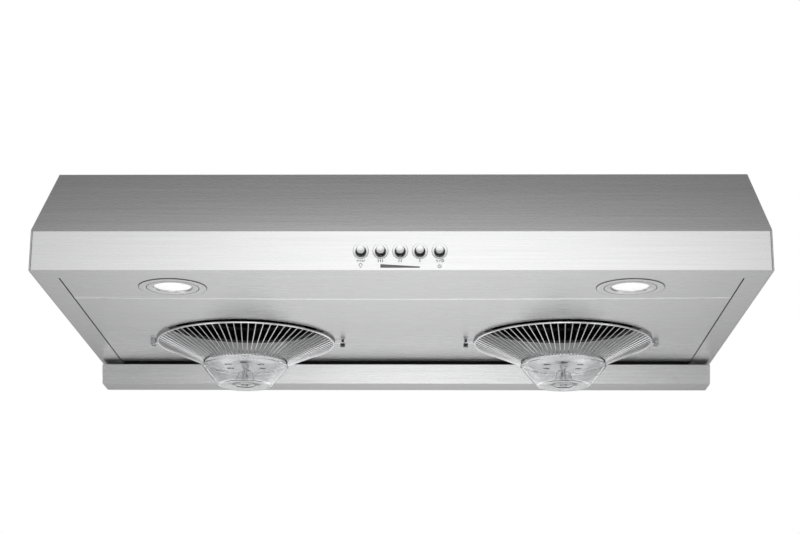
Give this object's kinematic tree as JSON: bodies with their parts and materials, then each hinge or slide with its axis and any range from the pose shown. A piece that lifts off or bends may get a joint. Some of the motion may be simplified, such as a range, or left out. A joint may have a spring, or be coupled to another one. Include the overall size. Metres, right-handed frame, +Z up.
{
  "type": "under cabinet range hood",
  "caption": "Slim under-cabinet kitchen extractor hood with two wire-cone inlets, oil cups, round lamps, push buttons, a rear oil tray and a round top outlet.",
  "frame": {"origin": "centre of the four cabinet screw slots, on the outer face of the top cover", "axes": "+X to the right seen from the front, +Y from the fascia towards the wall, +Z up"},
  "size_m": [0.756, 0.4787, 0.243],
  "materials": {
    "stainless": "fine horizontal brushing",
    "galvanised": "plain",
    "chrome": "polished",
    "black_paint": "satin black",
    "motor_case": "satin",
    "clear_plastic": "clear",
    "lens": "lit diffuser",
    "black_plastic": "moulded",
    "white_plastic": "moulded",
    "aluminium_can": "satin",
    "wire_cover": "braided sleeve"
  },
  "bodies": {
    "hood": {"top_cover": "stainless", "front_fascia": "stainless", "left_side_panel": "stainless", "right_side_panel": "stainless", "light_panel": "stainless", "fan_deck": "stainless", "panel_rivets": "stainless", "back_panel": "galvanised", "rear_rail": "galvanised", "plenum_box": "galvanised", "duct_collar": "galvanised", "junction_box": "galvanised", "junction_cover": "galvanised", "tray_clips": "galvanised", "weld_nuts": "galvanised", "collar_screws": "galvanised", "motor_screws": "galvanised", "damper_rod": "galvanised", "grille_hinge_brackets": "galvanised", "cable_gland": "black_plastic", "switch_bank": "black_plastic", "led_driver": "white_plastic", "wiring_harness": "wire_cover", "motor_capacitors": "aluminium_can", "button_bezels": "chrome", "blower_housing_left": "black_paint", "inlet_ring_left": "stainless", "motor_left": "motor_case", "lamp_bezel_left": "chrome", "lamp_lens_left": "lens", "lamp_can_left": "aluminium_can", "blower_housing_right": "black_paint", "inlet_ring_right": "stainless", "motor_right": "motor_case", "lamp_bezel_right": "chrome", "lamp_lens_right": "lens", "lamp_can_right": "aluminium_can"},
    "button_lamp": {"button_lamp": "chrome"},
    "button_high": {"button_high": "chrome"},
    "button_medium": {"button_medium": "chrome"},
    "button_low": {"button_low": "chrome"},
    "button_power": {"button_power": "chrome"},
    "impeller_left": {"impeller_left": "black_paint", "impeller_hub_left": "black_paint", "motor_shaft_left": "galvanised"},
    "grille_left": {"grille_left": "chrome", "grille_plate_left": "stainless"},
    "thumbscrew_left": {"thumbscrew_left": "chrome"},
    "oil_cup_left": {"oil_cup_left": "clear_plastic"},
    "impeller_right": {"impeller_right": "black_paint", "impeller_hub_right": "black_paint", "motor_shaft_right": "galvanised"},
    "grille_right": {"grille_right": "chrome", "grille_plate_right": "stainless"},
    "thumbscrew_right": {"thumbscrew_right": "chrome"},
    "oil_cup_right": {"oil_cup_right": "clear_plastic"},
    "oil_tray": {"oil_tray": "stainless"},
    "damper_front": {"damper_flap_front": "galvanised"},
    "damper_rear": {"damper_flap_rear": "galvanised"}
  },
  "joints": [
    {"name": "button_lamp_press", "type": "slide", "parent": "hood", "child": "button_lamp", "axis": [0, 1, 0], "range_m": [0, 0.0025], "stiffness_N_per_m": 350, "springref_m": -0.0005},
    {"name": "button_high_press", "type": "slide", "parent": "hood", "child": "button_high", "axis": [0, 1, 0], "range_m": [0, 0.0025], "stiffness_N_per_m": 350, "springref_m": -0.0005},
    {"name": "button_medium_press", "type": "slide", "parent": "hood", "child": "button_medium", "axis": [0, 1, 0], "range_m": [0, 0.0025], "stiffness_N_per_m": 350, "springref_m": -0.0005},
    {"name": "button_low_press", "type": "slide", "parent": "hood", "child": "button_low", "axis": [0, 1, 0], "range_m": [0, 0.0025], "stiffness_N_per_m": 350, "springref_m": -0.0005},
    {"name": "button_power_press", "type": "slide", "parent": "hood", "child": "button_power", "axis": [0, 1, 0], "range_m": [0, 0.0025], "stiffness_N_per_m": 350, "springref_m": -0.0005},
    {"name": "impeller_left_spin", "type": "hinge", "parent": "hood", "child": "impeller_left", "pos_m": [-0.1865, 0.0195, -0.077], "axis": [0, 0, 1], "continuous": true},
    {"name": "grille_left_swing", "type": "hinge", "parent": "hood", "child": "grille_left", "pos_m": [-0.296, 0.0195, -0.1464], "axis": [0, 1, 0], "range_deg": [0, 85]},
    {"name": "thumbscrew_left_turn", "type": "hinge", "parent": "grille_left", "child": "thumbscrew_left", "pos_m": [-0.0725, 0.0195, -0.149], "axis": [0, 0, 1], "continuous": true},
    {"name": "oil_cup_left_pull", "type": "slide", "parent": "grille_left", "child": "oil_cup_left", "axis": [0, 0, -1], "range_m": [0, 0.025]},
    {"name": "impeller_right_spin", "type": "hinge", "parent": "hood", "child": "impeller_right", "pos_m": [0.1865, 0.0195, -0.077], "axis": [0, 0, 1], "continuous": true},
    {"name": "grille_right_swing", "type": "hinge", "parent": "hood", "child": "grille_right", "pos_m": [0.296, 0.0195, -0.1464], "axis": [0, -1, 0], "range_deg": [0, 85]},
    {"name": "thumbscrew_right_turn", "type": "hinge", "parent": "grille_right", "child": "thumbscrew_right", "pos_m": [0.0725, 0.0195, -0.149], "axis": [0, 0, 1], "continuous": true},
    {"name": "oil_cup_right_pull", "type": "slide", "parent": "grille_right", "child": "oil_cup_right", "axis": [0, 0, -1], "range_m": [0, 0.025]},
    {"name": "oil_tray_pull", "type": "slide", "parent": "hood", "child": "oil_tray", "axis": [0, 0, -1], "range_m": [0, 0.035]},
    {"name": "damper_front_swing", "type": "hinge", "parent": "hood", "child": "damper_front", "pos_m": [0, 0.078, 0.015], "axis": [-1, 0, 0], "range_deg": [0, 80]},
    {"name": "damper_rear_swing", "type": "hinge", "parent": "hood", "child": "damper_rear", "pos_m": [0, 0.078, 0.015], "axis": [1, 0, 0], "range_deg": [0, 80]}
  ]
}
